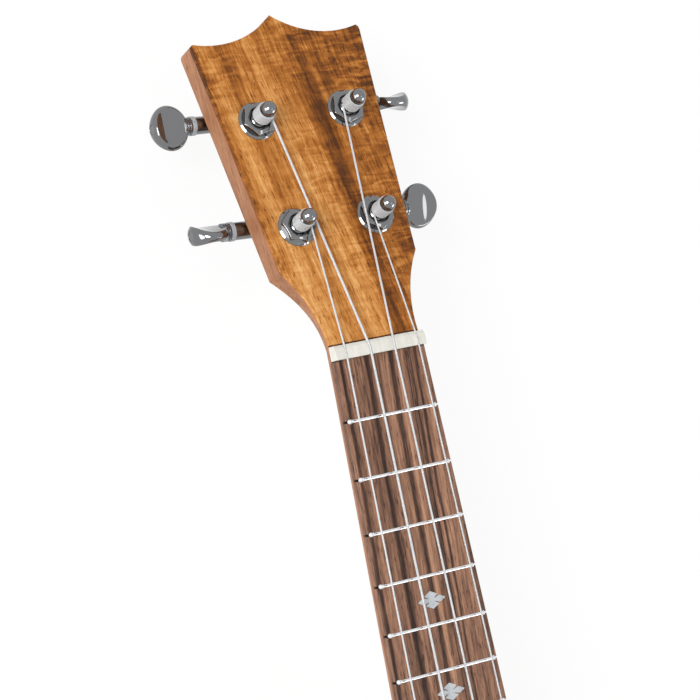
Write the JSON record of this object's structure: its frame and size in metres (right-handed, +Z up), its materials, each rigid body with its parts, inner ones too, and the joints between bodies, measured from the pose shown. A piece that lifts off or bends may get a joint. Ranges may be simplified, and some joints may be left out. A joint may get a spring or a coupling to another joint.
{
  "type": "concert ukulele",
  "caption": "Hollow figure-of-eight body, set neck with fretted board and tilted crown headstock, strings on a tie bridge and enclosed worm-gear tuners.",
  "frame": {"origin": "middle of the bounding box, on the plane that the back lies on", "axes": "+Z up out of the soundboard, +Y along the neck towards the headstock, +X towards the first string"},
  "size_m": [0.208, 0.6184, 0.0748],
  "materials": {
    "koa": "satin",
    "mahogany": "satin",
    "rosewood": "oiled",
    "spruce": "raw",
    "fret_wire": "polished",
    "plating": "mirror",
    "steel": "turned",
    "wheel_brass": "machined",
    "bone": "polished",
    "pearl": "polished",
    "string_nylon": "smooth",
    "nylon_spacer": "moulded"
  },
  "bodies": {
    "instrument": {"soundboard": "koa", "rosette": "rosewood", "back": "koa", "side_bass": "koa", "side_treble": "koa", "top_linings": "spruce", "back_linings": "spruce", "neck_block": "mahogany", "tail_block": "mahogany", "soundboard_braces": "spruce", "bridge_plate": "rosewood", "back_braces": "spruce", "back_strip": "spruce", "neck": "mahogany", "heel_cap": "rosewood", "headstock_veneer": "koa", "fingerboard": "rosewood", "frets": "fret_wire", "position_markers": "pearl", "nut": "bone", "bridge": "rosewood", "saddle": "bone", "tuner_covers": "plating", "tuner_bushings": "plating", "tuner_washers": "plating", "tuner_screws": "plating", "button_spacers": "nylon_spacer", "string_g": "string_nylon", "string_c": "string_nylon", "string_e": "string_nylon", "string_a": "string_nylon", "tuner_housing_g": "plating", "tuner_housing_c": "plating", "tuner_housing_e": "plating", "tuner_housing_a": "plating"},
    "post_body_g": {"post_g": "plating", "worm_wheel_g": "wheel_brass", "winding_g": "string_nylon"},
    "button_body_g": {"button_g": "plating", "worm_shaft_g": "steel", "button_screw_g": "plating"},
    "post_body_c": {"post_c": "plating", "worm_wheel_c": "wheel_brass", "winding_c": "string_nylon"},
    "button_body_c": {"button_c": "plating", "worm_shaft_c": "steel", "button_screw_c": "plating"},
    "post_body_e": {"post_e": "plating", "worm_wheel_e": "wheel_brass", "winding_e": "string_nylon"},
    "button_body_e": {"button_e": "plating", "worm_shaft_e": "steel", "button_screw_e": "plating"},
    "post_body_a": {"post_a": "plating", "worm_wheel_a": "wheel_brass", "winding_a": "string_nylon"},
    "button_body_a": {"button_a": "plating", "worm_shaft_a": "steel", "button_screw_a": "plating"}
  },
  "joints": [
    {"name": "button_spin_g", "type": "hinge", "parent": "instrument", "child": "button_body_g", "pos_m": [-0.01566, 0.23462, 0.04255], "axis": [-0.9992, 0.0392, -0.0085], "continuous": true},
    {"name": "post_spin_g", "type": "hinge", "parent": "instrument", "child": "post_body_g", "pos_m": [-0.0159, 0.23172, 0.0575], "axis": [0, 0.2113, 0.9774], "continuous": true, "deforming": ["winding_g"]},
    {"name": "button_spin_c", "type": "hinge", "parent": "instrument", "child": "button_body_c", "pos_m": [-0.01776, 0.27421, 0.03399], "axis": [-0.9992, 0.0392, -0.0085], "continuous": true},
    {"name": "post_spin_c", "type": "hinge", "parent": "instrument", "child": "post_body_c", "pos_m": [-0.018, 0.27131, 0.04894], "axis": [0, 0.2113, 0.9774], "continuous": true, "deforming": ["winding_c"]},
    {"name": "button_spin_e", "type": "hinge", "parent": "instrument", "child": "button_body_e", "pos_m": [0.01824, 0.27421, 0.03399], "axis": [0.9992, -0.0392, 0.0085], "continuous": true},
    {"name": "post_spin_e", "type": "hinge", "parent": "instrument", "child": "post_body_e", "pos_m": [0.018, 0.27131, 0.04894], "axis": [0, 0.2113, 0.9774], "continuous": true, "deforming": ["winding_e"]},
    {"name": "button_spin_a", "type": "hinge", "parent": "instrument", "child": "button_body_a", "pos_m": [0.01614, 0.23462, 0.04255], "axis": [0.9992, -0.0392, 0.0085], "continuous": true},
    {"name": "post_spin_a", "type": "hinge", "parent": "instrument", "child": "post_body_a", "pos_m": [0.0159, 0.23172, 0.0575], "axis": [0, 0.2113, 0.9774], "continuous": true, "deforming": ["winding_a"]}
  ],
  "couplings": [
    {"joint": "post_spin_g", "follows": "button_spin_g", "ratio": 0.071429},
    {"joint": "post_spin_c", "follows": "button_spin_c", "ratio": 0.071429},
    {"joint": "post_spin_e", "follows": "button_spin_e", "ratio": 0.071429},
    {"joint": "post_spin_a", "follows": "button_spin_a", "ratio": 0.071429}
  ]
}
